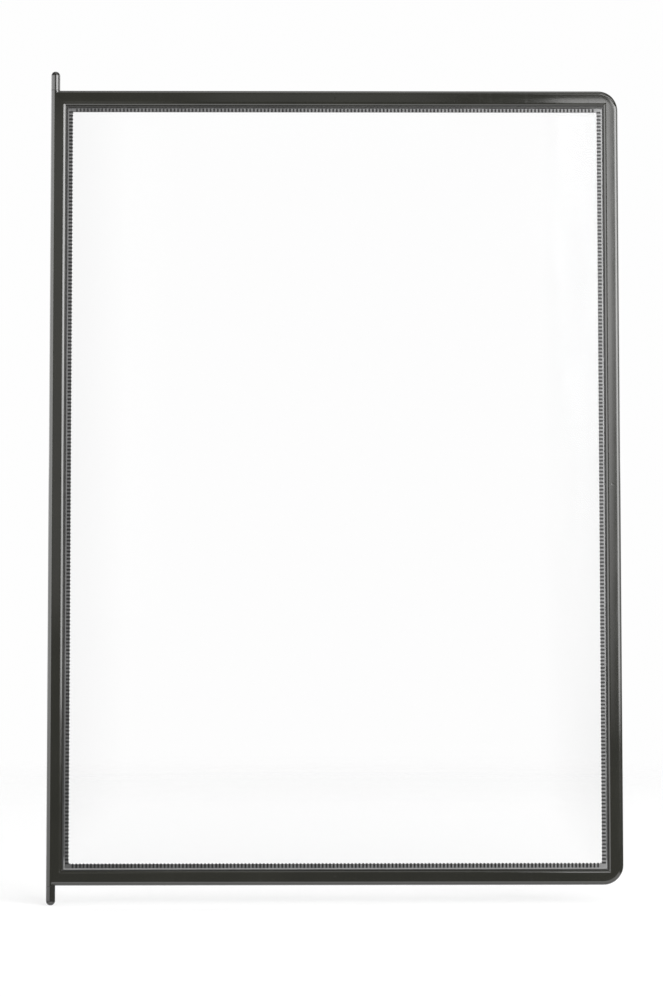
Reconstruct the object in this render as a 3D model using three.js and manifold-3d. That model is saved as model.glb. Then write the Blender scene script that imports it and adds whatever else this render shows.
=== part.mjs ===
// A4 display pocket: a slim black plastic frame that holds sheets between two clear films and
// swings like a page on two pins at the ends of its hinge stile.
//
// The frame is two half mouldings, front and rear, welded together round a steel stiffening wire.
// Each half carries one film, welded on a flange inside the rails. The halves stand apart along
// the top rail, so that sheets slide in from above. A steel rod runs through the hinge stile, and
// a domed cap on each end of the rod is the pin that a holder grips. The pocket turns on the rod.
//
// Millimetres. The pivot axis is Z, up. X runs from the hinge stile to the free stile, and the
// front looks along -Y. The origin is the tip of the lower pin.

import * as THREE from "three";
import { mergeVertices } from "three/addons/utils/BufferGeometryUtils.js";
import Module from "manifold-3d";

const wasm = await Module();
wasm.setup();

// The sheet that the pocket takes, and the room round it
const SHEET_WIDTH = 210;
const SHEET_HEIGHT = 297;
const SHEET_SIDE_ROOM = 1.25;
const SHEET_END_ROOM = 2.75;
const SHEET_SLOT = 1.0;

// Frame section, measured from the outer edge inwards
const FRAME_THICKNESS = 3.6;
const RAIL_WIDTH = 5.8;
const BEVEL_RUN = 1.15;
const FLANGE_DROP = 0.65;
const FLANGE_WIDTH = 2.95;
const CORNER_RADIUS = 8.0;

// Films
const FILM_THICKNESS = 0.25;
const FILM_WELD_WIDTH = 2.0;

// Hinge rod and pin caps
const ROD_DIAMETER = 1.8;
const ROD_SEAT = 5.0;
const PIN_DIAMETER = 3.6;
const PIN_REACH = 7.7;
const PIN_TIP_FLAT = 1.4;

// Stiffening wire in the bottom rail and the free stile
const WIRE_DIAMETER = 1.5;
const WIRE_INSET = 3.4;
const WIRE_END_MARGIN = 3.0;

// Clearances
const PARTING_GAP = 0.1;
const WELD_LINE = 0.05;
const ROD_CLEARANCE = 0.3;
const WIRE_CLEARANCE = 0.3;
const CAP_FIT = 0.1;
const CAP_RUNNING_GAP = 0.3;
const ROD_END_GAP = 0.3;

// Facets in a quarter turn
const EDGE_FACETS = 8;
const CORNER_FACETS = 8;
const WIRE_FACETS = 3;
const WIRE_BEND_STEPS = 6;

// Sizes that follow
const BORDER = RAIL_WIDTH + FLANGE_WIDTH;
const WINDOW_WIDTH = SHEET_WIDTH + 2 * SHEET_SIDE_ROOM;
const WINDOW_HEIGHT = SHEET_HEIGHT + 2 * SHEET_END_ROOM;
const FRAME_WIDTH = WINDOW_WIDTH + 2 * BORDER;
const FRAME_HEIGHT = WINDOW_HEIGHT + 2 * BORDER;
const HALF_THICKNESS = FRAME_THICKNESS / 2;
const LEFT = -HALF_THICKNESS;
const RIGHT = LEFT + FRAME_WIDTH;
const BOTTOM = PIN_REACH;
const TOP = BOTTOM + FRAME_HEIGHT;
const MIDDLE_X = (LEFT + RIGHT) / 2;
const MIDDLE_Z = (BOTTOM + TOP) / 2;
const FLANGE_FACE = HALF_THICKNESS - FLANGE_DROP;
const BORE_RADIUS = ROD_DIAMETER / 2 + ROD_CLEARANCE;

// How far a cutting solid stands past what it cuts, and how near two vertices are one
const CUT_MARGIN = 5;
const SAME_VERTEX = 1e-4;

const blackPlastic = () =>
  new THREE.MeshStandardMaterial({ color: 0x161615, roughness: 0.22, metalness: 0 });
const clearFilm = () =>
  new THREE.MeshStandardMaterial({
    color: 0xf4f6f8,
    roughness: 0.08,
    metalness: 0,
    transparent: true,
    opacity: 0.15,
  });
const steel = () =>
  new THREE.MeshStandardMaterial({ color: 0xb4b6b8, roughness: 0.35, metalness: 1 });

// A closed geometry as a solid that can be joined and cut.
function solidOf(geometry) {
  const bare = geometry.index ? geometry.toNonIndexed() : geometry.clone();
  bare.deleteAttribute("normal");
  bare.deleteAttribute("uv");
  const merged = mergeVertices(bare, SAME_VERTEX);
  return new wasm.Manifold(
    new wasm.Mesh({
      numProp: 3,
      vertProperties: merged.attributes.position.array,
      triVerts: new Uint32Array(merged.index.array),
    }),
  );
}

// A joined or cut solid as a geometry.
function geometryOf(solid) {
  const mesh = solid.getMesh();
  const geometry = new THREE.BufferGeometry();
  geometry.setAttribute("position", new THREE.BufferAttribute(mesh.vertProperties, 3));
  geometry.setIndex(new THREE.BufferAttribute(mesh.triVerts, 1));
  const faceted = geometry.toNonIndexed();
  faceted.computeVertexNormals();
  return faceted;
}

// A box from its lowest to its highest corner.
function boxBetween(low, high) {
  const size = new THREE.Vector3().subVectors(high, low);
  const centre = new THREE.Vector3().addVectors(low, high).multiplyScalar(0.5);
  return new THREE.BoxGeometry(size.x, size.y, size.z).translate(centre.x, centre.y, centre.z);
}

// A round bar along Z on the pivot axis.
function uprightBar(radius, lowZ, highZ) {
  const bar = new THREE.CylinderGeometry(radius, radius, highZ - lowZ, 4 * EDGE_FACETS);
  return bar.rotateX(Math.PI / 2).translate(0, 0, (lowZ + highZ) / 2);
}

// The frame's outline, seen from the front: square at the hinge stile, round at the free stile.
function frameOutline() {
  const outline = new THREE.Shape();
  outline.moveTo(LEFT, BOTTOM);
  outline.lineTo(RIGHT - CORNER_RADIUS, BOTTOM);
  outline.absarc(RIGHT - CORNER_RADIUS, BOTTOM + CORNER_RADIUS, CORNER_RADIUS, -Math.PI / 2, 0);
  outline.lineTo(RIGHT, TOP - CORNER_RADIUS);
  outline.absarc(RIGHT - CORNER_RADIUS, TOP - CORNER_RADIUS, CORNER_RADIUS, 0, Math.PI / 2);
  outline.lineTo(LEFT, TOP);
  outline.closePath();
  return outline;
}

// A rectangle about the middle of the frame, grown past the window by a margin.
function windowOutline(margin) {
  const halfWidth = WINDOW_WIDTH / 2 + margin;
  const halfHeight = WINDOW_HEIGHT / 2 + margin;
  const outline = new THREE.Shape();
  outline.moveTo(MIDDLE_X - halfWidth, MIDDLE_Z - halfHeight);
  outline.lineTo(MIDDLE_X + halfWidth, MIDDLE_Z - halfHeight);
  outline.lineTo(MIDDLE_X + halfWidth, MIDDLE_Z + halfHeight);
  outline.lineTo(MIDDLE_X - halfWidth, MIDDLE_Z + halfHeight);
  outline.closePath();
  return outline;
}

// The outline's front half in the round: full size at the middle plane, with a quarter-round edge.
function roundedFront() {
  const slab = new THREE.ExtrudeGeometry(frameOutline(), {
    depth: CUT_MARGIN,
    curveSegments: CORNER_FACETS,
    bevelEnabled: true,
    bevelThickness: HALF_THICKNESS,
    bevelSize: HALF_THICKNESS,
    bevelOffset: -HALF_THICKNESS,
    bevelSegments: EDGE_FACETS,
  });
  return slab.rotateX(Math.PI / 2).translate(0, CUT_MARGIN, 0);
}

// The recess inside the rails, down to the flange, with its sloping sides.
function flangeRecess() {
  const mouth = windowOutline(FLANGE_WIDTH + BEVEL_RUN);
  const plug = new THREE.ExtrudeGeometry(mouth, {
    depth: CUT_MARGIN,
    bevelEnabled: true,
    bevelThickness: FLANGE_DROP,
    bevelSize: BEVEL_RUN,
    bevelOffset: -BEVEL_RUN,
    bevelSegments: 1,
  });
  return plug.rotateX(Math.PI / 2).translate(0, -HALF_THICKNESS, 0);
}

// The stiffening wire's form: along the bottom rail, round the corner and up the free stile.
function bentWire(radius, endMargin) {
  const lowZ = BOTTOM + WIRE_INSET;
  const wireX = RIGHT - WIRE_INSET;
  const bend = CORNER_RADIUS - WIRE_INSET;
  const startX = HALF_THICKNESS + endMargin;
  const endZ = TOP - CORNER_RADIUS - endMargin;
  const sides = 4 * WIRE_FACETS;
  const flatLength = wireX - bend - startX;
  const flat = new THREE.CylinderGeometry(radius, radius, flatLength, sides)
    .rotateZ(Math.PI / 2)
    .translate(startX + flatLength / 2, 0, lowZ);
  const uprightLength = endZ - lowZ - bend;
  const upright = new THREE.CylinderGeometry(radius, radius, uprightLength, sides)
    .rotateX(Math.PI / 2)
    .translate(wireX, 0, endZ - uprightLength / 2);
  const section = new THREE.Shape().absarc(0, 0, radius, 0, 2 * Math.PI);
  const corner = new THREE.ExtrudeGeometry(section, {
    steps: WIRE_BEND_STEPS,
    curveSegments: sides,
    extrudePath: new THREE.QuadraticBezierCurve3(
      new THREE.Vector3(wireX - bend - radius / 2, 0, lowZ),
      new THREE.Vector3(wireX, 0, lowZ),
      new THREE.Vector3(wireX, 0, lowZ + bend + radius / 2),
    ),
  });
  return solidOf(flat).add(solidOf(corner)).add(solidOf(upright));
}

// The front half of the frame, with its flange, rod bore, wire groove and half of the sheet slot.
function halfFrame() {
  const body = solidOf(roundedFront()).add(
    solidOf(uprightBar(HALF_THICKNESS, BOTTOM, TOP)),
  );
  const behindParting = boxBetween(
    new THREE.Vector3(LEFT - CUT_MARGIN, -PARTING_GAP / 2, BOTTOM - CUT_MARGIN),
    new THREE.Vector3(RIGHT + CUT_MARGIN, 2 * CUT_MARGIN + FRAME_THICKNESS, TOP + CUT_MARGIN),
  );
  const windowLow = new THREE.Vector3(LEFT + BORDER, -FRAME_THICKNESS, BOTTOM + BORDER);
  const windowHigh = new THREE.Vector3(RIGHT - BORDER, FRAME_THICKNESS, TOP - BORDER);
  const slotLow = new THREE.Vector3(windowLow.x, -SHEET_SLOT / 2, MIDDLE_Z);
  const slotHigh = new THREE.Vector3(windowHigh.x, FRAME_THICKNESS, TOP + CUT_MARGIN);
  return body
    .subtract(solidOf(behindParting))
    .subtract(solidOf(boxBetween(windowLow, windowHigh)))
    .subtract(solidOf(flangeRecess()))
    .subtract(solidOf(boxBetween(slotLow, slotHigh)))
    .subtract(solidOf(uprightBar(BORE_RADIUS, BOTTOM - CUT_MARGIN, TOP + CUT_MARGIN)))
    .subtract(bentWire(WIRE_DIAMETER / 2 + WIRE_CLEARANCE, WIRE_END_MARGIN - WIRE_CLEARANCE));
}

// One film, lying on the flange of the front half.
function filmGeometry() {
  const back = -FLANGE_FACE - WELD_LINE;
  const inset = BORDER - FILM_WELD_WIDTH;
  return boxBetween(
    new THREE.Vector3(LEFT + inset, back - FILM_THICKNESS, BOTTOM + inset),
    new THREE.Vector3(RIGHT - inset, back, TOP - inset),
  );
}

// A pin cap with its tip up at z = 0, open below for the rod.
function capGeometry() {
  const radius = PIN_DIAMETER / 2;
  const flat = PIN_TIP_FLAT / 2;
  const boreRadius = ROD_DIAMETER / 2 + CAP_FIT;
  const shoulder = -(PIN_REACH - CAP_RUNNING_GAP);
  const boreEnd = shoulder + ROD_SEAT + ROD_END_GAP;
  const domeCentre = -Math.sqrt(radius * radius - flat * flat);
  const startAngle = Math.acos(flat / radius);
  const profile = [new THREE.Vector2(0, boreEnd), new THREE.Vector2(boreRadius, boreEnd)];
  profile.push(new THREE.Vector2(boreRadius, shoulder), new THREE.Vector2(radius, shoulder));
  for (let i = 0; i <= EDGE_FACETS; i++) {
    const angle = (startAngle * i) / EDGE_FACETS;
    const height = domeCentre + radius * Math.sin(angle);
    profile.push(new THREE.Vector2(radius * Math.cos(angle), height));
  }
  profile.push(new THREE.Vector2(0, 0));
  return new THREE.LatheGeometry(profile, 4 * EDGE_FACETS).rotateX(Math.PI / 2);
}

function mesh(name, geometry, material) {
  const piece = new THREE.Mesh(geometry, material);
  piece.name = name;
  return piece;
}

const displayPocket = new THREE.Group();

// Rod and pins, which the holder keeps still
const pivot = new THREE.Group();
const rodLow = BOTTOM - CAP_RUNNING_GAP - ROD_SEAT;
const rodHigh = TOP + CAP_RUNNING_GAP + ROD_SEAT;
pivot.add(mesh("hinge_rod", uprightBar(ROD_DIAMETER / 2, rodLow, rodHigh), steel()));
const upperCap = mesh("upper_pivot_cap", capGeometry(), blackPlastic());
upperCap.position.z = TOP + PIN_REACH;
const lowerCap = mesh("lower_pivot_cap", capGeometry(), blackPlastic());
lowerCap.rotation.x = Math.PI;
pivot.add(upperCap, lowerCap);

// The pocket, which swings. The rear half mirrors the front half through the middle plane.
const pocket = new THREE.Group();
const halfGeometry = geometryOf(halfFrame());
pocket.add(mesh("front_frame", halfGeometry, blackPlastic()));
pocket.add(mesh("front_film", filmGeometry(), clearFilm()));
const rear = new THREE.Group();
rear.scale.y = -1;
rear.add(mesh("rear_frame", halfGeometry.clone(), blackPlastic()));
rear.add(mesh("rear_film", filmGeometry(), clearFilm()));
const wireGeometry = geometryOf(bentWire(WIRE_DIAMETER / 2, WIRE_END_MARGIN));
pocket.add(rear, mesh("stiffening_wire", wireGeometry, steel()));

displayPocket.add(pivot, pocket);

export default displayPocket;
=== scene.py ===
"""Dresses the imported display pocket: black frame, clear films with ribbed welds, domed pins."""

import math

import bmesh
import bpy
from mathutils import Matrix, Vector


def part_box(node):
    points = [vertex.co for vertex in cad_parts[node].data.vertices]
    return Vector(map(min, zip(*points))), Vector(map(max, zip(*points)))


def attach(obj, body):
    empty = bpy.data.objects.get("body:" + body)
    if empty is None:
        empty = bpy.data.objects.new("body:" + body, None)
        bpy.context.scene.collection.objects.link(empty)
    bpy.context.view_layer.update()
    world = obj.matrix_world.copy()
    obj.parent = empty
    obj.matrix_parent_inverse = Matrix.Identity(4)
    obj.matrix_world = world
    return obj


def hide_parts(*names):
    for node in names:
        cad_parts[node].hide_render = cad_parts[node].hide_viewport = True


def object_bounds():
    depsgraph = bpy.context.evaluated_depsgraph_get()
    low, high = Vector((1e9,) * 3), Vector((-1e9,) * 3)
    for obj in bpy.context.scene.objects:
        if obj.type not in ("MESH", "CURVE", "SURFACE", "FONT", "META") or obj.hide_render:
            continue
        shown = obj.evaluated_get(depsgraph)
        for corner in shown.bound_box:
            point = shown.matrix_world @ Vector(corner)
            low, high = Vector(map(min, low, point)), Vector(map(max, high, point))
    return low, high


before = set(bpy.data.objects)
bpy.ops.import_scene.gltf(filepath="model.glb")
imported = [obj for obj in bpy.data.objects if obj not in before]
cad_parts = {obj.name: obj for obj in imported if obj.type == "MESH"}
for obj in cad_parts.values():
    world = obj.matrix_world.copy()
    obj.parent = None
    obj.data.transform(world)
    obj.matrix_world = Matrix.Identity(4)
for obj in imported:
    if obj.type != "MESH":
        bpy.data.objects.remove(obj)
cad_low, cad_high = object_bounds()

MM = 0.001
FRONT = -1
REAR = 1

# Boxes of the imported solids
front_low, front_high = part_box("front_frame")
film_low, film_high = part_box("front_film")
rod_low, rod_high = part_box("hinge_rod")
wire_low, wire_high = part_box("stiffening_wire")

LEFT = cad_low.x
RIGHT = front_high.x
BOTTOM = front_low.z
TOP = front_high.z
HALF_THICKNESS = -front_low.y
PARTING = -front_high.y
MIDDLE_X = (LEFT + RIGHT) / 2
MIDDLE_Z = (BOTTOM + TOP) / 2

# Section of a rail: insets from the outer edge, and drops below the face
CORNER_RADIUS = 8.0 * MM
CROWN_RADIUS = 66.0 * MM
CROWN_TILT = 2.6
BEVEL_TOP = 5.3 * MM
BEVEL_FOOT = 5.95 * MM
BEVEL_DROP = 0.39 * MM
CHANNEL_DROP = 0.97 * MM
CHANNEL_WALL = 0.14 * MM
FLANGE_DROP = 0.65 * MM
INNER_DRAFT = 0.3 * MM
SHEET_SLOT = 1.0 * MM
MOUTH_WIDTH = 211.6 * MM
MOUTH_DEPTH = 9.0 * MM
BORE_RADIUS = 1.2 * MM
WIRE_GROOVE_RADIUS = 1.05 * MM

# Insets on each side of the channel's end, the film's edge and the window's edge, and how far the
# ribs stand past the flange
CHANNEL_END = {FRONT: 6.74 * MM, REAR: 6.35 * MM}
FILM_EDGE = {FRONT: 6.8 * MM, REAR: 6.4 * MM}
BORDER = {FRONT: 8.99 * MM, REAR: 8.25 * MM}
RIB_OVERHANG = 0.2 * MM

# How far each outline sits off centre on each side: the bevel's foot, the film, the window that its
# ribs leave clear, and the flange's edge under the ribs
CENTRED = (0.0, 0.0)
BEVEL_SHIFT = {FRONT: (0.08 * MM, -0.18 * MM), REAR: CENTRED}
FILM_SHIFT = {FRONT: (0.21 * MM, -0.32 * MM), REAR: CENTRED}
WELD_SHIFT = {FRONT: (0.17 * MM, -0.07 * MM), REAR: CENTRED}
EDGE_SHIFT = {FRONT: (0.15 * MM, -0.235 * MM), REAR: CENTRED}

# Small rounds and breaks that only the dressed part has
BEVEL_TOP_ROUND = 1.6 * MM
BEVEL_FOOT_ROUND = 0.3 * MM
CHANNEL_ROUND = 0.09 * MM
FLANGE_EDGE_ROUND = 0.15 * MM
INNER_CORNER_ROUND = 0.25 * MM
NEAR_CORNER = 1.0 * MM
PARTING_BREAK = 0.1 * MM

# Steps of the round stretches
EDGE_STEPS = 18
CORNER_STEPS = 20
ROUND_STEPS = 5
GROOVE_STEPS = 24
BORE_STEPS = 48

# How far a cut runs past the frame, and how worn the rail's edges are
CUT_MARGIN = 2.0 * MM
BEVEL_WEAR = 0.1
WINDOW_EDGE_WEAR = 0.2

# Gate marks, one small dimple in the middle of each free rail. The dish that cuts a dimple spreads
# further than the dimple by the factor of its reach
GATE_DEPTH = 0.05 * MM
GATE_CURVE = 6.0 * MM
GATE_INSET = 3.2 * MM
GATE_REACH = 1.5
GATE_STEPS = 10

# Film and its ribbed weld
FILM_OUTSIDE = -film_low.y
FILM_INSIDE = -film_high.y
RIB_PITCH = 1.455 * MM
RIB_WIDTH = 0.76 * MM
RIB_NEAR_EDGE = 0.03 * MM
RIB_CORNER = 0.20 * MM
RIB_FLOOR_CORNER = 0.14 * MM
RIB_WALL = 0.09 * MM
RIB_DEPTH = 0.13 * MM
RIM_WIDTH = 0.42 * MM
RIB_TO_RIM = 0.06 * MM
RIM_DROP = 0.19 * MM
RIPPLE_HEIGHT = 0.14 * MM
RIPPLE_MARGIN = 0.08

# Waves of the film: share of the height, waves across, waves up, and start in radians
RIPPLE_WAVES = ((0.6, 1.7, 0.6, 0.8), (0.4, -0.9, 2.3, 2.1))

# Material slots of a film, and of a half frame
FILM_SLOT, LAND_SLOT, RIB_SLOT, RIM_SLOT = range(4)
BODY_SLOT, FLANGE_SLOT = range(2)

# Pins
PIN_TIP_FLAT = 1.4 * MM
PIN_BORE_RADIUS = 1.0 * MM
PIN_FRAME_GAP = 0.06 * MM
PIN_END_BREAK = 0.08 * MM
PIN_EVEN_LENGTH = 0.2 * MM
ROD_END_GAP = 0.3 * MM
TURN_STEPS = 64
DOME_STEPS = 14

SAME_PLACE = 1e-7
SHARP_ANGLE = math.radians(31)


class Shell:
    """A mesh in the making, in which points at the same place are one vertex."""

    def __init__(self, side=REAR):
        self.bm = bmesh.new()
        self.wear = self.bm.verts.layers.float.new("edge_wear")
        self.side = side
        self.found = {}

    def vertex(self, x, depth, z, wear=0.0):
        key = tuple(round(value / SAME_PLACE) for value in (x, depth, z))
        if key not in self.found:
            self.found[key] = self.bm.verts.new((x, self.side * depth, z))
            self.found[key][self.wear] = wear
        return self.found[key]

    def face(self, corners, slot=0):
        """Adds a face, unless its corners fall together."""
        ring = [corner for i, corner in enumerate(corners) if corner is not corners[i - 1]]
        if len(ring) < 3 or len(set(ring)) < len(ring):
            return
        made = self.bm.faces.new(ring)
        made.material_index = slot

    def band(self, ring, next_ring, slot=0):
        """Joins two closed rings of vertices with faces."""
        for i in range(len(ring)):
            self.face([ring[i - 1], ring[i], next_ring[i], next_ring[i - 1]], slot)

    def fill(self, *rings):
        """Closes the flat area between rings of vertices."""
        edges = set()
        for ring in rings:
            for i, corner in enumerate(ring):
                if corner is not ring[i - 1]:
                    edges.add(self.bm.edges.get((ring[i - 1], corner)))
        bmesh.ops.triangle_fill(self.bm, use_beauty=True, edges=list(edges))

    def piece(self, name):
        bmesh.ops.recalc_face_normals(self.bm, faces=self.bm.faces)
        mesh = bpy.data.meshes.new(name)
        self.bm.to_mesh(mesh)
        self.bm.free()
        smooth(mesh)
        return add_object(name, mesh)


def smooth(mesh):
    mesh.shade_smooth()
    mesh.set_sharp_from_angle(angle=SHARP_ANGLE)


def add_object(name, data):
    made = bpy.data.objects.new(name, data)
    bpy.context.scene.collection.objects.link(made)
    return made


def arc(centre, radius, start, end, steps):
    """Points of an arc in a plane, its angles in degrees."""
    points = []
    for i in range(steps + 1):
        angle = math.radians(start + (end - start) * i / steps)
        points.append((centre[0] + radius * math.cos(angle), centre[1] + radius * math.sin(angle)))
    return points


def rounded(before, corner, after, radius, steps):
    """Points of the round that replaces a corner of a section."""
    corner = Vector(corner)
    towards = (Vector(before) - corner).normalized()
    away = (Vector(after) - corner).normalized()
    half = towards.angle(away) / 2
    centre = corner + (towards + away).normalized() * radius / math.sin(half)
    first = (corner + towards * radius / math.tan(half) - centre).normalized()
    last = (corner + away * radius / math.tan(half) - centre).normalized()
    return [centre + radius * first.slerp(last, i / steps) for i in range(steps + 1)]


def turned(shell, section):
    """Turns a section of radius and height about the upright axis."""
    rings = []
    for across, z in section:
        ring = []
        for i in range(TURN_STEPS):
            angle = 2 * math.pi * i / TURN_STEPS
            ring.append(shell.vertex(across * math.cos(angle), across * math.sin(angle), z))
        rings.append(ring)
    for ring, next_ring in zip(rings, rings[1:]):
        shell.band(ring, next_ring)


# Frame halves


def rail_section(side):
    """The rail's section, in five runs of inset, distance from the middle plane and edge wear.

    They are the round outer edge, which the hinge barrel shares, the slightly crowned face, the
    bevel down to the near side of the channel, the far side of the channel up to the flange under
    the weld, and the flange's edge at the window.
    """
    tilt = math.radians(CROWN_TILT)
    edge_radius = HALF_THICKNESS - CROWN_RADIUS * (1 - math.cos(tilt))
    edge_start = math.degrees(math.asin((PARTING + PARTING_BREAK) / edge_radius))
    edge = arc((edge_radius, 0), edge_radius, 180 - edge_start, 90 + CROWN_TILT, EDGE_STEPS)
    edge_run = [(PARTING_BREAK, PARTING, 0.0)]
    edge_run += [(*point, 0.0) for point in edge]

    crown_centre = (
        edge[-1][0] + CROWN_RADIUS * math.sin(tilt),
        edge[-1][1] - CROWN_RADIUS * math.cos(tilt),
    )
    crown = arc(crown_centre, CROWN_RADIUS, 90 + CROWN_TILT, 90, ROUND_STEPS)
    face_run = [(*point, 0.0) for point in crown]

    face = crown[-1][1]
    flange = face - FLANGE_DROP
    bevel_top = (BEVEL_TOP, face)
    bevel_foot = (BEVEL_FOOT, face - BEVEL_DROP)
    channel_near = (BEVEL_FOOT + CHANNEL_WALL, face - CHANNEL_DROP)
    channel_far = (CHANNEL_END[side] - CHANNEL_WALL, face - CHANNEL_DROP)
    flange_start = (CHANNEL_END[side], flange)
    flange_edge = (BORDER[side] - RIB_OVERHANG, flange)
    inner_foot = (flange_edge[0] - INNER_DRAFT, PARTING)
    bevel_run, flange_run, window_run = [], [], []
    for run, before, corner, after, radius, wear in (
        (bevel_run, crown[-1], bevel_top, bevel_foot, BEVEL_TOP_ROUND, BEVEL_WEAR),
        (bevel_run, bevel_top, bevel_foot, channel_near, BEVEL_FOOT_ROUND, BEVEL_WEAR),
        (bevel_run, bevel_foot, channel_near, channel_far, CHANNEL_ROUND, 0.0),
        (flange_run, channel_near, channel_far, flange_start, CHANNEL_ROUND, 0.0),
        (flange_run, channel_far, flange_start, flange_edge, CHANNEL_ROUND, 0.0),
        (window_run, flange_start, flange_edge, inner_foot, FLANGE_EDGE_ROUND, WINDOW_EDGE_WEAR),
    ):
        run += [(*point, wear) for point in rounded(before, corner, after, radius, ROUND_STEPS)]
    window_run.append((*inner_foot, 0.0))
    return edge_run, face_run, bevel_run, flange_run, window_run


def outline(inset, corner, with_barrel=False):
    """The frame's outline at an inset. The hinge barrel stands past its two square corners.

    A point close to each square corner keeps the shading of the long sides even.
    """
    left = LEFT + inset
    right = RIGHT - inset
    bottom = BOTTOM + inset
    top = TOP - inset
    barrel = max(HALF_THICKNESS - inset, left)
    barrel_bottom = BOTTOM if with_barrel else bottom
    barrel_top = TOP if with_barrel else top
    lower = [(left, bottom + NEAR_CORNER), (left, bottom), (left, barrel_bottom)]
    lower += [(barrel, barrel_bottom), (barrel, bottom), (barrel + NEAR_CORNER, bottom)]
    upper = [(barrel + NEAR_CORNER, top), (barrel, top), (barrel, barrel_top)]
    upper += [(left, barrel_top), (left, top), (left, top - NEAR_CORNER)]
    lower_round = arc((right - corner, bottom + corner), corner, -90, 0, CORNER_STEPS)
    upper_round = arc((right - corner, top - corner), corner, 0, 90, CORNER_STEPS)
    return lower + lower_round + upper_round + upper


def frame_rings(shell):
    """The rings of a half frame, from its outer edge to the window, and how many are glossy."""
    edge_run, face_run, bevel_run, flange_run, window_run = rail_section(shell.side)
    rings = []

    def add_ring(points, depth, wear):
        rings.append([shell.vertex(x, depth, z, wear) for x, z in points])

    for inset, depth, wear in edge_run:
        add_ring(outline(inset, CORNER_RADIUS - inset, True), depth, wear)
    face_start, face_end = face_run[0][0], bevel_run[0][0]
    outer = outline(face_start, CORNER_RADIUS - face_start)
    inner = outline(face_end, INNER_CORNER_ROUND)
    for inset, depth, wear in face_run:
        share = (inset - face_start) / (face_end - face_start)
        points = [Vector(a).lerp(Vector(b), share) for a, b in zip(outer, inner)]
        add_ring(points, depth, wear)
    face = bevel_run[0][1]
    runs = ((bevel_run, BEVEL_SHIFT), (flange_run, FILM_SHIFT), (window_run, EDGE_SHIFT))
    for run, shift in runs:
        shift_x, shift_z = shift[shell.side]
        for inset, depth, wear in run:
            lean = min((face - depth) / BEVEL_DROP, 1)
            points = outline(inset, INNER_CORNER_ROUND)
            add_ring([(x + lean * shift_x, z + lean * shift_z) for x, z in points], depth, wear)
    return rings, len(rings) - len(flange_run) - len(window_run)


def half_frame(name, side, surfaces):
    """A half of the frame, with gate marks and cuts for the sheet, the rod and the wire."""
    shell = Shell(side)
    rings, glossy = frame_rings(shell)
    for i, (ring, next_ring) in enumerate(zip(rings, rings[1:]), start=1):
        shell.band(ring, next_ring, BODY_SLOT if i < glossy else FLANGE_SLOT)
    shell.fill(rings[0], rings[-1])
    piece = shell.piece(name)
    for surface in surfaces:
        piece.data.materials.append(surface)
    cut(piece, [sheet_slot(), rod_bore(), wire_groove()] + gate_marks(side))
    smooth(piece.data)
    weighted = piece.modifiers.new("flat faces stay flat", "WEIGHTED_NORMAL")
    weighted.keep_sharp = True
    return piece


def cut(piece, cutters):
    """Cuts the cutters out of a piece, and deletes them."""
    for cutter in cutters:
        knife = piece.modifiers.new(cutter.name, "BOOLEAN")
        knife.operation = "DIFFERENCE"
        knife.solver = "EXACT"
        knife.object = cutter
    depsgraph = bpy.context.evaluated_depsgraph_get()
    mesh = bpy.data.meshes.new_from_object(piece.evaluated_get(depsgraph))
    mesh.name = piece.name
    piece.modifiers.clear()
    piece.data = mesh
    for cutter in cutters:
        bpy.data.objects.remove(cutter)


def cutting_shape(name, build, place):
    """An object to cut with, from a call that builds it and the matrix that places it."""
    bm = bmesh.new()
    build(bm)
    bm.transform(place)
    mesh = bpy.data.meshes.new(name)
    bm.to_mesh(mesh)
    bm.free()
    return add_object(name, mesh)


def sheet_slot():
    """The mouth in the top rail through which a sheet goes in, cut out of both halves."""
    height = MOUTH_DEPTH + 2 * CUT_MARGIN
    size = Matrix.Diagonal((MOUTH_WIDTH, SHEET_SLOT, height, 1))
    middle = MIDDLE_X + WELD_SHIFT[FRONT][0]
    place = Matrix.Translation((middle, 0, TOP - MOUTH_DEPTH / 2)) @ size
    return cutting_shape("sheet_slot", lambda bm: bmesh.ops.create_cube(bm, size=1), place)


def rod_bore():
    """The bore for the rod, through the whole hinge stile."""

    def build(bm):
        bmesh.ops.create_cone(
            bm,
            cap_ends=True,
            segments=BORE_STEPS,
            radius1=BORE_RADIUS,
            radius2=BORE_RADIUS,
            depth=TOP - BOTTOM + 2 * CUT_MARGIN,
        )

    return cutting_shape("rod_bore", build, Matrix.Translation((0, 0, MIDDLE_Z)))


def wire_groove():
    """A groove round the stiffening wire, with the wire's own route."""
    wire_radius = (wire_high.y - wire_low.y) / 2
    clearance = WIRE_GROOVE_RADIUS - wire_radius
    low_z = wire_low.z + wire_radius
    high_x = wire_high.x - wire_radius
    bend = CORNER_RADIUS - (RIGHT - high_x)
    route = [(wire_low.x - clearance, low_z)]
    route += arc((high_x - bend, low_z + bend), bend, -90, 0, CORNER_STEPS)
    route.append((high_x, wire_high.z + clearance))
    shell = Shell()
    rings = []
    for i, (x, z) in enumerate(route):
        before = Vector(route[max(i - 1, 0)])
        after = Vector(route[min(i + 1, len(route) - 1)])
        along = (after - before).normalized()
        ring = []
        for across, depth in arc((0, 0), WIRE_GROOVE_RADIUS, 0, 360, GROOVE_STEPS)[1:]:
            ring.append(shell.vertex(x - along.y * across, depth, z + along.x * across))
        rings.append(ring)
    for ring, next_ring in zip(rings, rings[1:]):
        shell.band(ring, next_ring)
    shell.face(rings[0])
    shell.face(rings[-1])
    return shell.piece("wire_groove")


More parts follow.
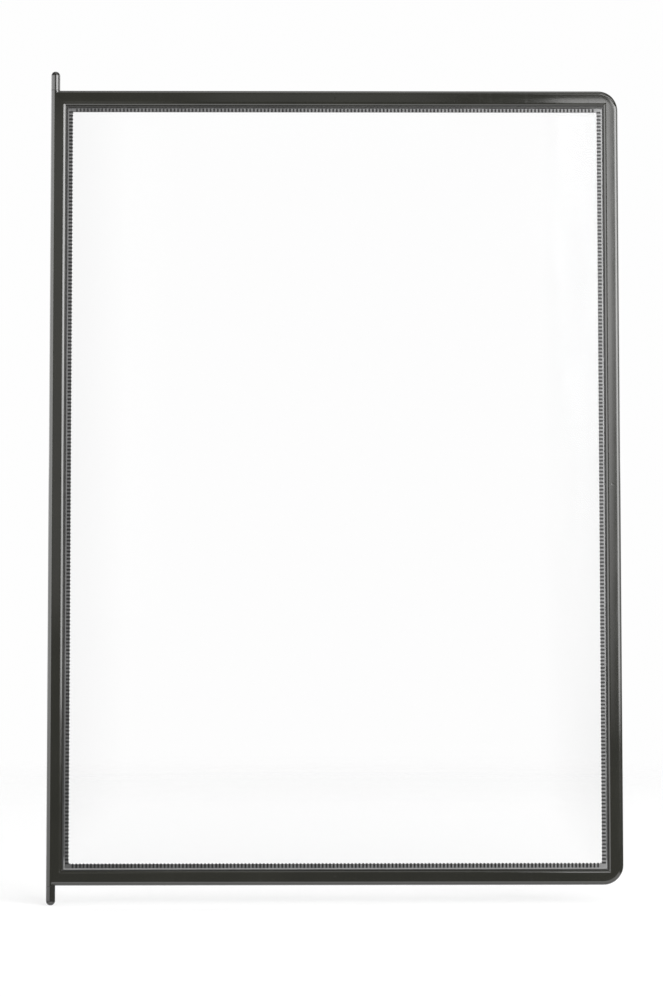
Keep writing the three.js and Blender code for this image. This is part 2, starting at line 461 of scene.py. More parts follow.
def gate_marks(side):
    """Shallow dimples left where the plastic was fed in, cut by dishes that stand past the face."""
    spread = GATE_REACH * math.degrees(math.sqrt(2 * GATE_DEPTH / GATE_CURVE))
    dish = arc((0, GATE_CURVE - GATE_DEPTH), GATE_CURVE, -90, spread - 90, GATE_STEPS)
    dish.append((0.0, dish[-1][1]))
    facing = Matrix.Rotation(-side * math.pi / 2, 4, "X")
    places = (
        (MIDDLE_X, TOP - GATE_INSET),
        (MIDDLE_X, BOTTOM + GATE_INSET),
        (RIGHT - GATE_INSET, MIDDLE_Z),
    )
    marks = []
    for i, (x, z) in enumerate(places):
        shell = Shell()
        turned(shell, dish)
        mark = shell.piece(f"gate_mark_{i}")
        mark.data.transform(Matrix.Translation((x, side * HALF_THICKNESS, z)) @ facing)
        marks.append(mark)
    return marks


# Films


def ripple(across, up):
    """How far the film stands off its plane: gentle waves that die out at the weld."""
    fade = 1.0
    for share in (across, 1 - across, up, 1 - up):
        near = min(max(share / RIPPLE_MARGIN, 0), 1)
        fade *= near * near * (3 - 2 * near)
    wave = 0.0
    for height, waves_across, waves_up, start in RIPPLE_WAVES:
        turns = waves_across * across + waves_up * up
        wave += height * math.sin(2 * math.pi * turns + start)
    return RIPPLE_HEIGHT * fade * wave


def stations(low, high):
    """Ends of a window side, and between them the boundaries of its ribs."""
    count = 2 * round((high - low) / RIB_PITCH / 2) - 1
    pitch = (high - low) / count
    return [low] + [low + pitch * (i + 0.5) for i in range(count)] + [high]


def pocket(middle, width, near, far, corner):
    """The outline of a pressed rib: eight points, along the weld and away from the window."""
    half = width / 2
    return [
        (middle - half + corner, near),
        (middle + half - corner, near),
        (middle + half, near + corner),
        (middle + half, far - corner),
        (middle + half - corner, far),
        (middle - half + corner, far),
        (middle - half, far - corner),
        (middle - half, near + corner),
    ]


def widths(size, outer_shift, inner_shift):
    """The width left by two outlines that sit off centre, on the left, right, bottom and top."""
    more_x = inner_shift[0] - outer_shift[0]
    more_z = inner_shift[1] - outer_shift[1]
    return size + more_x, size - more_x, size + more_z, size - more_z


def pressed_rib(shell, at, start, end, ledge, width, gap, gap_slot):
    """One rib of the weld: a flat land with a pocket pressed in, and the sloping rim beside it.

    The ledge holds any places between start and end where the window's own corner falls. The gap
    is the strip of land between the ribs' ends.
    """
    middle = (start + end) / 2
    crest = width - RIM_WIDTH
    rib_end = crest - RIB_TO_RIM
    near = [at(along, 0, FILM_OUTSIDE) for along in (start, *ledge, end)]
    gap_a, gap_b = at(start, gap, FILM_OUTSIDE), at(end, gap, FILM_OUTSIDE)
    far_a, far_b = at(start, crest, FILM_OUTSIDE), at(end, crest, FILM_OUTSIDE)
    edge_a = at(start, width, FILM_OUTSIDE - RIM_DROP)
    edge_b = at(end, width, FILM_OUTSIDE - RIM_DROP)
    mouth_shape = pocket(middle, RIB_WIDTH, RIB_NEAR_EDGE, rib_end, RIB_CORNER)
    sunk_shape = pocket(
        middle,
        RIB_WIDTH - 2 * RIB_WALL,
        RIB_NEAR_EDGE + RIB_WALL,
        rib_end - RIB_WALL,
        RIB_FLOOR_CORNER,
    )
    mouth = [at(along, out, FILM_OUTSIDE) for along, out in mouth_shape]
    sunk = [at(along, out, FILM_OUTSIDE - RIB_DEPTH) for along, out in sunk_shape]
    shell.face(near + [mouth[1], mouth[0]], gap_slot)
    shell.face([near[-1], gap_b, mouth[2], mouth[1]], gap_slot)
    shell.face([near[0], mouth[0], mouth[7], gap_a], gap_slot)
    shell.face([gap_b, far_b, mouth[3], mouth[2]], LAND_SLOT)
    shell.face([far_b, far_a, mouth[5], mouth[4]], LAND_SLOT)
    shell.face([far_a, gap_a, mouth[7], mouth[6]], LAND_SLOT)
    shell.face([far_b, mouth[4], mouth[3]], LAND_SLOT)
    shell.face([far_a, mouth[6], mouth[5]], LAND_SLOT)
    shell.band(mouth, sunk, RIB_SLOT)
    shell.face(sunk, RIB_SLOT)
    shell.face([far_a, far_b, edge_b, edge_a], RIM_SLOT)
    under = [at(along, 0, FILM_INSIDE) for along in (start, *ledge, end)]
    under_a, under_b = at(start, width, FILM_INSIDE), at(end, width, FILM_INSIDE)
    shell.face(under + [under_b, under_a], FILM_SLOT)
    shell.face([edge_a, edge_b, under_b, under_a], RIM_SLOT)


def film_corner(shell, column, row):
    """The plain film outside a corner of the window, up to the first rib on either side.

    The column and the row each give the window's edge, the first rib, the way out, the weld's width
    and the gap between the ribs' ends.
    """
    x, first_x, away_x, width_x, gap_x = column
    z, first_z, away_z, width_z, gap_z = row
    rib_z = 2 * z - first_z

    def ring(back, depth):
        out_x, out_z = x + away_x * (width_x - back), z + away_z * (width_z - back)
        places = [(first_x, out_z), (out_x, out_z), (out_x, rib_z)]
        return [shell.vertex(a, depth, b) for a, b in places]

    def inner(depth):
        return [shell.vertex(a, depth, b) for a, b in ((x, rib_z), (x, z), (first_x, z))]

    crest = ring(RIM_WIDTH, FILM_OUTSIDE)
    edge = ring(0, FILM_OUTSIDE - RIM_DROP)
    under = ring(0, FILM_INSIDE)
    rail_gap = shell.vertex(first_x, FILM_OUTSIDE, z + away_z * gap_z)
    stile_gap = shell.vertex(x + away_x * gap_x, FILM_OUTSIDE, rib_z)
    shell.face(inner(FILM_OUTSIDE) + [rail_gap, *crest, stile_gap], LAND_SLOT)
    shell.face(inner(FILM_INSIDE) + under, FILM_SLOT)
    for upper, lower in ((crest, edge), (edge, under)):
        for i in range(2):
            shell.face([upper[i], upper[i + 1], lower[i + 1], lower[i]], RIM_SLOT)


def film_window(shell, columns, rows, depth):
    """One face of the clear middle of the film, two ribs to a patch."""

    def at(column, row):
        x, z = columns[column], rows[row]
        across = (x - columns[0]) / (columns[-1] - columns[0])
        up = (z - rows[0]) / (rows[-1] - rows[0])
        return shell.vertex(x, depth + ripple(across, up), z)

    for i in range(0, len(columns) - 1, 2):
        for j in range(0, len(rows) - 1, 2):
            ring = [at(i, j)]
            if j == 0:
                ring.append(at(i + 1, j))
            ring.append(at(i + 2, j))
            if i + 3 == len(columns):
                ring.append(at(i + 2, j + 1))
            ring.append(at(i + 2, j + 2))
            if j + 3 == len(rows):
                ring.append(at(i + 1, j + 2))
            ring.append(at(i, j + 2))
            if i == 0:
                ring.append(at(i, j + 1))
            shell.face(ring, FILM_SLOT)


def across_weld(shell, upright, edge, away):
    """A call that makes vertices at places along one side of the window, and out from its edge."""

    def at(along, out, depth):
        if upright:
            return shell.vertex(edge + away * out, depth, along)
        return shell.vertex(along, depth, edge + away * out)

    return at


def film(name, side):
    """A film with its ribbed weld. The upright rows of ribs run half a rib past the window.

    Each side of the window has the weld's width, the gap between the ribs' ends and its material.
    """
    shell = Shell(side)
    border = BORDER[side]
    shift_x, shift_z = WELD_SHIFT[side]
    columns = stations(LEFT + border + shift_x, RIGHT - border + shift_x)
    rows = stations(BOTTOM + border + shift_z, TOP - border + shift_z)
    left, right, bottom, top = zip(
        widths(border - FILM_EDGE[side], FILM_SHIFT[side], WELD_SHIFT[side]),
        widths(RIB_OVERHANG, EDGE_SHIFT[side], WELD_SHIFT[side]),
        (FILM_SLOT, FILM_SLOT, FILM_SLOT, LAND_SLOT),
    )
    for depth in (FILM_OUTSIDE, FILM_INSIDE):
        film_window(shell, columns, rows, depth)
    for z, away, weld in ((rows[0], -1, bottom), (rows[-1], 1, top)):
        at = across_weld(shell, False, z, away)
        for start, end in zip(columns[1:-2], columns[2:-1]):
            pressed_rib(shell, at, start, end, [], *weld)
    for x, away, weld in ((columns[0], -1, left), (columns[-1], 1, right)):
        at = across_weld(shell, True, x, away)
        for start, end in zip(rows[1:-2], rows[2:-1]):
            pressed_rib(shell, at, start, end, [], *weld)
        for corner, first in ((rows[0], rows[1]), (rows[-1], rows[-2])):
            start, end = sorted((2 * corner - first, first))
            pressed_rib(shell, at, start, end, [corner], *weld[:2], LAND_SLOT)
    left_column = (columns[0], columns[1], -1, *left[:2])
    right_column = (columns[-1], columns[-2], 1, *right[:2])
    lower_row = (rows[0], rows[1], -1, *bottom[:2])
    upper_row = (rows[-1], rows[-2], 1, *top[:2])
    for column in (left_column, right_column):
        for row in (lower_row, upper_row):
            film_corner(shell, column, row)
    return shell.piece(name)


# Pins


def pivot_cap(name, tip, frame_end, rod_end):
    """A domed pin, turned about the pivot axis, with a blind bore for the rod."""
    up = 1 if tip > frame_end else -1
    radius = HALF_THICKNESS
    flat = PIN_TIP_FLAT / 2
    flat_angle = math.degrees(math.acos(flat / radius))
    dome_height = math.sqrt(radius**2 - flat**2)
    shoulder = tip - up * dome_height
    mouth = frame_end + up * PIN_FRAME_GAP
    bore_end = rod_end + up * ROD_END_GAP
    section = [(0.0, tip)]
    for across, height in arc((0, 0), radius, flat_angle, 0, DOME_STEPS):
        section.append((across, shoulder + up * height))
    section += [
        (radius, shoulder - up * PIN_EVEN_LENGTH),
        (radius, mouth + up * (PIN_END_BREAK + PIN_EVEN_LENGTH)),
        (radius, mouth + up * PIN_END_BREAK),
        (radius - PIN_END_BREAK, mouth),
        (PIN_BORE_RADIUS, mouth),
        (PIN_BORE_RADIUS, bore_end),
        (0.0, bore_end),
    ]
    shell = Shell()
    turned(shell, section)
    return shell.piece(name)


# Materials

# Tones from dark to light
FRAME_TONES = ((0.0056, 0.0056, 0.0026), (0.0078, 0.0077, 0.0042))
FLANGE_TONES = ((0.0052, 0.0051, 0.0038), (0.0074, 0.0072, 0.0056))
PIN_TONES = ((0.0056, 0.0056, 0.0036), (0.0078, 0.0077, 0.0054))
FILM_TONES = ((0.86, 0.88, 0.90), (0.92, 0.93, 0.95))
STEEL_TONES = ((0.42, 0.43, 0.44), (0.66, 0.67, 0.68))
# The weld's greys span its own cloudiness and the painted light that makes it paler towards some
# sides
LAND_GREYS = (0.032, 0.195)
RIB_GREYS = (0.004, 0.042)
RIM_GREYS = (0.03, 0.2)
RUBBED_GAIN = 2.5

# Roughness from smooth to rough, what scratches and wear add, and the strength of mirrors
RAIL_ROUGHNESS = (0.09, 0.13)
FLANGE_ROUGHNESS = (0.32, 0.36)
FILM_ROUGHNESS = (0.03, 0.07)
LAND_ROUGHNESS = (0.32, 0.47)
RIB_ROUGHNESS = (0.30, 0.45)
RIM_ROUGHNESS = (0.08, 0.23)
STEEL_ROUGHNESS = (0.22, 0.38)
SCRATCH_ROUGHNESS = 0.06
WORN_ROUGHNESS = 0.12
PLASTIC_IOR = 1.59
FILM_IOR = 1.49
FROST_GLOSS = 0.5
RIB_GLOSS = 0.3
FILM_METAL = 0.85
FILM_GLOSS = 0.004
FILM_GLANCE = 0.25
GLANCE_POWER = 5

# Scale of each noise, in features per metre, and the stretch of those that run along the part
FLOW_SCALE = 38
HAZE_SCALE = 420
SCRATCH_SCALE = 900
MOULD_WAVE_SCALE = 45
SKIN_SCALE = 1600
FILM_CLOUD_SCALE = 30
FILM_WAVE_SCALE = 60
FROST_SCALE = 700
PATCH_SCALE = 90
DRAWN_SCALE = 2600
SCRATCH_RUN = (1.0, 1.0, 0.04)
DRAWN_RUN = (1.0, 1.0, 0.02)

# Height of the fine relief
MOULD_WAVE = 0.04 * MM
SKIN_GRAIN = 0.0006 * MM
FILM_WAVE = 0.04 * MM
FROST_GRAIN = 0.02 * MM
DRAWN_LINE = 0.008 * MM

# Stretches of a noise's range over which something changes
MIDDLE_STRETCH = (0.35, 0.65)
WIDE_STRETCH = (0.3, 0.7)
HAZE_STRETCH = (0.45, 0.65)
SCRATCH_STRETCH = (0.62, 0.75)

# Painted shade that dims the film near the frame's left, bottom and right sides, and how the weld's
# grey changes from place to place: painted light that makes it paler towards some sides, and random
# cloudiness
FILM_PAINTED_SHADE = 0.986
FILM_PAINTED_SHADE_RIGHT = 0.98
FILM_PAINTED_SHADE_REACH = 22.0 * MM
WELD_INSET = 9 * MM
CLEAR_INSET = 12 * MM
ACROSS_SHARE = 0.65
UP_SHARE = 0.35
TOP_WELD_SHARE = 0.4
RIGHT_FOOT_SHARE = 0.2
RIGHT_RIM_SHARE = 0.4
CLOUD_SHARE = 0.6
PATCH_SHARE = 0.4
UNEVEN_SHARE = 0.2


class Nodes:
    """A material's node tree, with short calls for the nodes used here."""

    def __init__(self, name):
        self.material = bpy.data.materials.new(name)
        self.material.use_nodes = True
        self.tree = self.material.node_tree
        self.tree.nodes.clear()
        self.output = self.add("ShaderNodeOutputMaterial")
        self.shader = self.add("ShaderNodeBsdfPrincipled")
        self.link(self.shader.outputs["BSDF"], self.output.inputs["Surface"])
        self.place = self.add("ShaderNodeTexCoord").outputs["Object"]
        apart = self.add("ShaderNodeSeparateXYZ")
        self.link(self.place, apart.inputs["Vector"])
        self.x, self.z = apart.outputs["X"], apart.outputs["Z"]

    def add(self, kind, **settings):
        node = self.tree.nodes.new(kind)
        for key, value in settings.items():
            setattr(node, key, value)
        return node

    def link(self, source, target):
        self.tree.links.new(source, target)

    def noise(self, scale, detail=2.0, roughness=0.5, stretch=None):
        """Noise over the object, its scale in features per metre."""
        node = self.add("ShaderNodeTexNoise")
        node.inputs["Scale"].default_value = scale
        node.inputs["Detail"].default_value = detail
        node.inputs["Roughness"].default_value = roughness
        if stretch is None:
            self.link(self.place, node.inputs["Vector"])
        else:
            mapping = self.add("ShaderNodeMapping")
            mapping.inputs["Scale"].default_value = stretch
            self.link(self.place, mapping.inputs["Vector"])
            self.link(mapping.outputs["Vector"], node.inputs["Vector"])
        return node.outputs["Fac"]

    def ramp(self, source, low, high, to_low, to_high):
        """Spreads a source from low to high over another range, and holds its ends."""
        node = self.add("ShaderNodeMapRange")
        for key, value in (
            ("From Min", low),
            ("From Max", high),
            ("To Min", to_low),
            ("To Max", to_high),
        ):
            node.inputs[key].default_value = value
        self.link(source, node.inputs["Value"])
        return node.outputs["Result"]

    def math(self, operation, first, second):
        node = self.add("ShaderNodeMath", operation=operation)
        for source, target in ((first, node.inputs[0]), (second, node.inputs[1])):
            if isinstance(source, (int, float)):
                target.default_value = source
            else:
                self.link(source, target)
        return node.outputs["Value"]

    def mix_colour(self, factor, first, second):
        node = self.add("ShaderNodeMix", data_type="RGBA")
        self.link(factor, node.inputs["Factor"])
        for source, target in ((first, node.inputs["A"]), (second, node.inputs["B"])):
            if isinstance(source, tuple):
                target.default_value = (*source, 1.0)
            else:
                self.link(source, target)
        return colour_of(node)

    def bump(self, height, distance, below=None):
        node = self.add("ShaderNodeBump")
        node.inputs["Distance"].default_value = distance
        self.link(height, node.inputs["Height"])
        if below is not None:
            self.link(below, node.inputs["Normal"])
        return node.outputs["Normal"]

    def set(self, **values):
        for key, value in values.items():
            self.shader.inputs[key.replace("_", " ")].default_value = value


def colour_of(mix_node):
    return next(out for out in mix_node.outputs if out.type == "RGBA")


def black_plastic(name, tones, roughness):
    """Glossy black moulding: faint flow shade, uneven gloss, hair scratches, worn edges."""
    made = Nodes(name)
    flow = made.noise(FLOW_SCALE, detail=3)
    haze = made.noise(HAZE_SCALE, detail=4, roughness=0.6)
    scratches = made.noise(SCRATCH_SCALE, stretch=SCRATCH_RUN)
    wear = made.add("ShaderNodeAttribute", attribute_name="edge_wear").outputs["Fac"]
    worn = made.math("MULTIPLY", wear, made.ramp(haze, *HAZE_STRETCH, 0, 1))
    shade = made.mix_colour(made.ramp(flow, *MIDDLE_STRETCH, 0, 1), *tones)
    rubbed = tuple(RUBBED_GAIN * value for value in tones[-1])
    made.link(made.mix_colour(worn, shade, rubbed), made.shader.inputs["Base Color"])
    gloss = made.ramp(flow, *WIDE_STRETCH, *roughness)
    scratched = made.ramp(scratches, *SCRATCH_STRETCH, 0, SCRATCH_ROUGHNESS)
    gloss = made.math("ADD", gloss, scratched)
    gloss = made.math("ADD", gloss, made.math("MULTIPLY", worn, WORN_ROUGHNESS))
    made.link(gloss, made.shader.inputs["Roughness"])
    waves = made.bump(made.noise(MOULD_WAVE_SCALE, detail=1), MOULD_WAVE)
    skin = made.bump(made.noise(SKIN_SCALE), SKIN_GRAIN, waves)
    made.link(skin, made.shader.inputs["Normal"])
    made.set(IOR=PLASTIC_IOR)
    return made.material


def clear_film():
    """Clear smooth film: shows what is behind it, mirrors lamps, and has a little painted shade
    near the frame.
    """
    made = Nodes("clear_film")
    cloud = made.noise(FILM_CLOUD_SCALE)
    made.link(made.mix_colour(cloud, *FILM_TONES), made.shader.inputs["Base Color"])
    gloss = made.ramp(cloud, *WIDE_STRETCH, *FILM_ROUGHNESS)
    made.link(gloss, made.shader.inputs["Roughness"])
    waves = made.bump(made.noise(FILM_WAVE_SCALE, detail=1), FILM_WAVE)
    made.link(waves, made.shader.inputs["Normal"])
    made.set(Metallic=FILM_METAL, IOR=FILM_IOR)
    # Painted shade: the film darkens near the frame's left, bottom and right sides, in place of the
    # frame's shadow on what shows through
    shade = 1.0
    for place, edge, way, dimmest in (
        (made.x, LEFT + BORDER[FRONT], 1, FILM_PAINTED_SHADE),
        (made.z, BOTTOM + BORDER[FRONT], 1, FILM_PAINTED_SHADE),
        (made.x, RIGHT - BORDER[FRONT], -1, FILM_PAINTED_SHADE_RIGHT),
    ):
        painted_shade_near_weld = made.ramp(place, edge, edge + way * FILM_PAINTED_SHADE_REACH, dimmest, 1.0)
        shade = made.math("MINIMUM", painted_shade_near_weld, shade)
    open_air = made.add("ShaderNodeBsdfTransparent")
    made.link(shade, open_air.inputs["Color"])
    slant = made.add("ShaderNodeLayerWeight").outputs["Facing"]
    glancing = made.math("MULTIPLY", made.math("POWER", slant, GLANCE_POWER), FILM_GLANCE)
    both = made.add("ShaderNodeMixShader")
    made.link(made.math("ADD", glancing, FILM_GLOSS), both.inputs["Fac"])
    made.link(open_air.outputs["BSDF"], both.inputs[1])
    made.link(made.shader.outputs["BSDF"], both.inputs[2])
    made.link(both.outputs["Shader"], made.output.inputs["Surface"])
    return made.material


def towards_top_right(made):
    """A share of painted light that grows from the lower left corner of the frame to the upper
    right one, the side the light comes from.
    """
    across = made.ramp(made.x, LEFT, RIGHT, 0, ACROSS_SHARE)
    return made.math("ADD", across, made.ramp(made.z, BOTTOM, TOP, 0, UP_SHARE))


def at_right_weld(made, share):
    """A share of painted light that the right weld has, and nothing further in."""
    return made.ramp(made.x, RIGHT - CLEAR_INSET, RIGHT - WELD_INSET, 0, share)


def right_and_top(made):
    """A share of painted light that is full at the top of the right weld and less along the top
    one.
    """
    high = made.ramp(made.z, TOP - CLEAR_INSET, TOP - WELD_INSET, 0, TOP_WELD_SHARE)
    upwards = made.ramp(made.z, BOTTOM, MIDDLE_Z, RIGHT_FOOT_SHARE, 1)
    right = made.math("MULTIPLY", at_right_weld(made, 1), upwards)
    return made.math("MAXIMUM", high, right)


def bottom_and_right(made):
    """A share of painted highlight that is full along the bottom weld and less along the right one.
    """
    low = made.ramp(made.z, BOTTOM + WELD_INSET, BOTTOM + CLEAR_INSET, 1, 0)
    return made.math("MAXIMUM", low, at_right_weld(made, RIGHT_RIM_SHARE))


def frosted_film(name, greys, roughness, gloss, pale):
    """Film that the weld has turned cloudy, over the black flange. Pale gives the share of painted
    light, which says where it is palest.
    """
    made = Nodes(name)
    cloud = made.noise(FROST_SCALE, detail=4, roughness=0.65)
    fine = made.math("MULTIPLY", cloud, CLOUD_SHARE)
    broad = made.math("MULTIPLY", made.noise(PATCH_SCALE), PATCH_SHARE)
    tone = made.math("ADD", fine, broad)
    uneven = made.ramp(tone, *MIDDLE_STRETCH, -UNEVEN_SHARE, UNEVEN_SHARE)
    tones = [(grey, grey, grey) for grey in greys]
    # Painted light: the pale share lightens the grey towards some sides of the frame, over the
    # film's own random cloudiness
    shade = made.mix_colour(made.math("ADD", pale(made), uneven), *tones)
    made.link(shade, made.shader.inputs["Base Color"])
    made.link(made.ramp(cloud, *WIDE_STRETCH, *roughness), made.shader.inputs["Roughness"])
    made.link(made.bump(cloud, FROST_GRAIN), made.shader.inputs["Normal"])
    made.set(IOR=FILM_IOR, Specular_IOR_Level=gloss)
    return made.material


def drawn_steel():
    """Bright drawn wire with fine lines along it."""
    made = Nodes("drawn_steel")
    lines = made.noise(DRAWN_SCALE, detail=3, stretch=DRAWN_RUN)
    made.link(made.mix_colour(lines, *STEEL_TONES), made.shader.inputs["Base Color"])
    gloss = made.ramp(lines, *WIDE_STRETCH, *STEEL_ROUGHNESS)
    made.link(gloss, made.shader.inputs["Roughness"])
    made.link(made.bump(lines, DRAWN_LINE), made.shader.inputs["Normal"])
    made.set(Metallic=1.0)
    return made.material


# Object

frame_black = black_plastic("frame_black", FRAME_TONES, RAIL_ROUGHNESS)
flange_black = black_plastic("flange_black", FLANGE_TONES, FLANGE_ROUGHNESS)
pin_black = black_plastic("pin_black", PIN_TONES, RAIL_ROUGHNESS)
film_clear = clear_film()
# These weld materials carry painted light: paler towards the upper right on the land and ribs, and
# a painted highlight along the bottom and right rim
weld_land = frosted_film("weld_land", LAND_GREYS, LAND_ROUGHNESS, FROST_GLOSS, towards_top_right)
weld_rib = frosted_film("weld_rib", RIB_GREYS, RIB_ROUGHNESS, RIB_GLOSS, right_and_top)
film_rim = frosted_film("film_rim", RIM_GREYS, RIM_ROUGHNESS, FROST_GLOSS, bottom_and_right)
steel = drawn_steel()

for side, word in ((FRONT, "front"), (REAR, "rear")):
    half = half_frame(f"{word}_frame_shell", side, (frame_black, flange_black))
    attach(half, "pocket")
    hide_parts(f"{word}_frame")

    sheet = film(f"{word}_film_ribbed", side)
    for surface in (film_clear, weld_land, weld_rib, film_rim):
        sheet.data.materials.append(surface)
    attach(sheet, "pocket")
    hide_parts(f"{word}_film")

for node, tip, frame_end, rod_end in (
    ("upper_pivot_cap", cad_high.z, TOP, rod_high.z),
    ("lower_pivot_cap", cad_low.z, BOTTOM, rod_low.z),
):
    pin = pivot_cap(f"{node}_domed", tip, frame_end, rod_end)
    pin.data.materials.append(pin_black)
    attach(pin, "pivot")
    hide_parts(node)

for node in ("hinge_rod", "stiffening_wire"):
    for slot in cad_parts[node].material_slots:
        slot.material = steel

# Camera

CAMERA_PLACE = (0.1046, -0.900, 0.1117)
CAMERA_PITCH = 3.21
CAMERA_ROLL = 0.034
CAMERA_YAW = -0.46
FOCAL_PIXELS = 2241.6
IMAGE_HEIGHT = 996
SENSOR = 36.0
CLIP_START = 0.01

camera_data = bpy.data.cameras.new("camera")
camera_data.sensor_width = SENSOR
camera_data.lens = FOCAL_PIXELS / IMAGE_HEIGHT * SENSOR
camera_data.clip_start = CLIP_START
camera = add_object("camera", camera_data)
camera.location = CAMERA_PLACE
camera.rotation_euler = [
    math.radians(angle) for angle in (90 + CAMERA_PITCH, CAMERA_ROLL, CAMERA_YAW)
]
bpy.context.scene.camera = camera

# Light

FILL_STRENGTH = 0.07
ROOM_STRENGTH = 0.41
WHITE_STRENGTH = 0.99
FLOOR_ALBEDO = 0.5
FLOOR_GRAIN = 0.01
FLOOR_GRAIN_SCALE = 25
FLOOR_ROUGHNESS = 0.9
FLOOR_LIFT = 0.51
FLOOR_HALF = 1.1
FADE_START = 0.45
FADE_END = 1.0


def softbox(name, azimuth, elevation, distance, width, height, radiance, *fades):
    """A lamp that faces the object from a direction, with any fades along the world's axes."""
    lamp = bpy.data.lights.new(name, "AREA")
    lamp.shape = "RECTANGLE"
    lamp.size = width
    lamp.size_y = height
    lamp.energy = radiance * math.pi * width * height
    turn = math.radians(azimuth)
    rise = math.radians(elevation)
    away = Vector(
        (math.sin(turn) * math.cos(rise), -math.cos(turn) * math.cos(rise), math.sin(rise))
    )
    box = add_object(name, lamp)
    box.location = Vector((MIDDLE_X, 0, MIDDLE_Z)) + away * distance
    box.rotation_euler = away.to_track_quat("Z", "Y").to_euler()
    box.visible_camera = False
    if fades:
        fade_lamp(lamp, fades)


def fade_lamp(lamp, fades):
    """Each fade is an axis, the place of full brightness, that of least, and the share there."""
    lamp.use_nodes = True
    tree = lamp.node_tree
    place = tree.nodes.new("ShaderNodeNewGeometry")
    split = tree.nodes.new("ShaderNodeSeparateXYZ")
    tree.links.new(place.outputs["Position"], split.inputs["Vector"])
    strength = None
    for axis, full_at, least_at, least in fades:
        ramp = tree.nodes.new("ShaderNodeMapRange")
        for key, value in (
            ("From Min", least_at),
            ("From Max", full_at),
            ("To Min", least),
            ("To Max", 1.0),
        ):
            ramp.inputs[key].default_value = value
        tree.links.new(split.outputs[axis], ramp.inputs["Value"])
        if strength is None:
            strength = ramp.outputs["Result"]
            continue
        both = tree.nodes.new("ShaderNodeMath")
        both.operation = "MULTIPLY"
        tree.links.new(strength, both.inputs[0])
        tree.links.new(ramp.outputs["Result"], both.inputs[1])
        strength = both.outputs["Value"]
    emission = next(node for node in tree.nodes if node.type == "EMISSION")
    tree.links.new(strength, emission.inputs["Strength"])


right_foot = ("Z", 0.578, -0.045, 0.65)
left_foot = ("Z", 0.306, -0.40, 0.38)
strip_side = ("X", 0.335, 0.415, 0.2)
strip_foot = ("Z", 0.374, -0.01, 0.0)
table_front = ("Y", -0.8, -1.2, 0.2)
table_back = ("Y", -0.6, -0.1, 0.5)

# Azimuth and elevation in degrees, distance, width and height in metres, radiance and fades
softbox("right_softbox", 49, 10.2, 2.32, 0.90, 1.22, 10.8, right_foot)
softbox("right_wing_softbox", 27.5, 10.2, 2.34, 0.87, 1.22, 6.6, right_foot)
softbox("right_outer_softbox", 72, 10.2, 2.34, 0.99, 1.22, 3.6, right_foot)
softbox("right_side_softbox", 102, 10.2, 2.40, 1.56, 1.22, 1.0, right_foot)
softbox("right_strip", 16, 8, 0.95, 0.13, 0.54, 6.2, strip_side, strip_foot)
softbox("left_softbox", -42.8, 4.7, 2.48, 2.13, 1.46, 4.1, left_foot)
softbox("left_side_softbox", -95.0, 4.7, 2.51, 2.78, 1.46, 3.2, left_foot)
softbox("left_card", -13.9, 9.1, 0.94, 0.18, 0.40, 0.42)
softbox("front_card", 0, 24.5, 0.99, 0.20, 0.17, 0.31)
softbox("upper_softbox", 13, 31, 2.00, 0.24, 0.40, 3.0)
softbox("right_upper_softbox", 38, 39, 2.00, 1.30, 0.40, 4.5)
softbox("top_softbox", 25, 82, 1.20, 0.80, 1.02, 1.4)
softbox("table_softbox", 0, -90, 0.47, 1.40, 2.40, 2.2, table_front, table_back)
softbox("rear_softbox_right", 135, 20, 1.20, 0.50, 0.70, 2.5)
softbox("rear_softbox_left", -135, 20, 1.20, 0.50, 0.70, 2.5)


def white_world():
    """A white background, a pale grey room in mirrors, and a faint light of its own."""
    world = bpy.data.worlds.new("white_room")
    world.use_nodes = True
    tree = world.node_tree
    tree.nodes.clear()
    output = tree.nodes.new("ShaderNodeOutputWorld")
    path = tree.nodes.new("ShaderNodeLightPath")
    fill, room, white = (tree.nodes.new("ShaderNodeBackground") for _ in range(3))
    for background, strength in (
        (fill, FILL_STRENGTH),
        (room, ROOM_STRENGTH),
        (white, WHITE_STRENGTH),
    ):
        background.inputs["Color"].default_value = (1, 1, 1, 1)
        background.inputs["Strength"].default_value = strength
    shown = fill.outputs["Background"]
    for ray, background in (
        ("Is Glossy Ray", room),
        ("Is Transmission Ray", white),
        ("Is Camera Ray", white),
    ):
        mix = tree.nodes.new("ShaderNodeMixShader")
        tree.links.new(path.outputs[ray], mix.inputs["Fac"])
        tree.links.new(shown, mix.inputs[1])
        tree.links.new(background.outputs["Background"], mix.inputs[2])
        shown = mix.outputs["Shader"]
    tree.links.new(shown, output.inputs["Surface"])
    bpy.context.scene.world = world


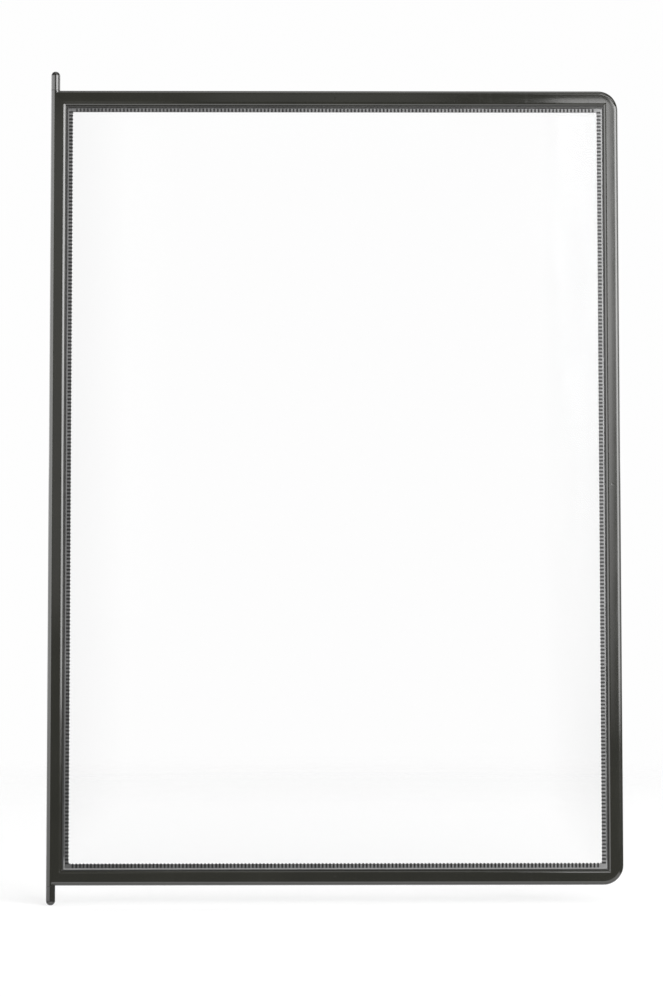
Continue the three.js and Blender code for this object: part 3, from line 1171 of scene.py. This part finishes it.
def floor_material():
    """Pale floor that keeps the shadow near the object, and fades into the white room beyond."""
    made = Nodes("pale_floor")
    grain = made.noise(FLOOR_GRAIN_SCALE, detail=3)
    darker, lighter = FLOOR_ALBEDO - FLOOR_GRAIN, FLOOR_ALBEDO + FLOOR_GRAIN
    paint = made.mix_colour(grain, (darker,) * 3, (lighter,) * 3)
    made.link(paint, made.shader.inputs["Base Color"])
    made.set(Roughness=FLOOR_ROUGHNESS)
    lift = made.add("ShaderNodeEmission")
    lift.inputs["Strength"].default_value = FLOOR_LIFT
    lifted = made.add("ShaderNodeAddShader")
    made.link(made.shader.outputs["BSDF"], lifted.inputs[0])
    made.link(lift.outputs["Emission"], lifted.inputs[1])
    seen = made.add("ShaderNodeMixShader")
    path = made.add("ShaderNodeLightPath")
    made.link(path.outputs["Is Camera Ray"], seen.inputs["Fac"])
    made.link(made.shader.outputs["BSDF"], seen.inputs[1])
    made.link(lifted.outputs["Shader"], seen.inputs[2])
    room = made.add("ShaderNodeBsdfTransparent")
    reach = made.add("ShaderNodeVectorMath", operation="DISTANCE")
    made.link(made.place, reach.inputs[0])
    reach.inputs[1].default_value = (MIDDLE_X, 0, 0)
    beyond = made.add("ShaderNodeMapRange", interpolation_type="SMOOTHSTEP")
    beyond.inputs["From Min"].default_value = FADE_START
    beyond.inputs["From Max"].default_value = FADE_END
    made.link(reach.outputs["Value"], beyond.inputs["Value"])
    blend = made.add("ShaderNodeMixShader")
    made.link(beyond.outputs["Result"], blend.inputs["Fac"])
    made.link(seen.outputs["Shader"], blend.inputs[1])
    made.link(room.outputs["BSDF"], blend.inputs[2])
    made.link(blend.outputs["Shader"], made.output.inputs["Surface"])
    return made.material


def floor():
    mesh = bpy.data.meshes.new("floor")
    corners = [(-FLOOR_HALF, -FLOOR_HALF), (FLOOR_HALF, -FLOOR_HALF)]
    corners += [(FLOOR_HALF, FLOOR_HALF), (-FLOOR_HALF, FLOOR_HALF)]
    mesh.from_pydata([(x, y, cad_low.z) for x, y in corners], [], [(0, 1, 2, 3)])
    mesh.materials.append(floor_material())
    made = add_object("floor", mesh)
    made.visible_glossy = False
    return made


white_world()
floor()
bpy.context.scene.view_settings.view_transform = "Standard"
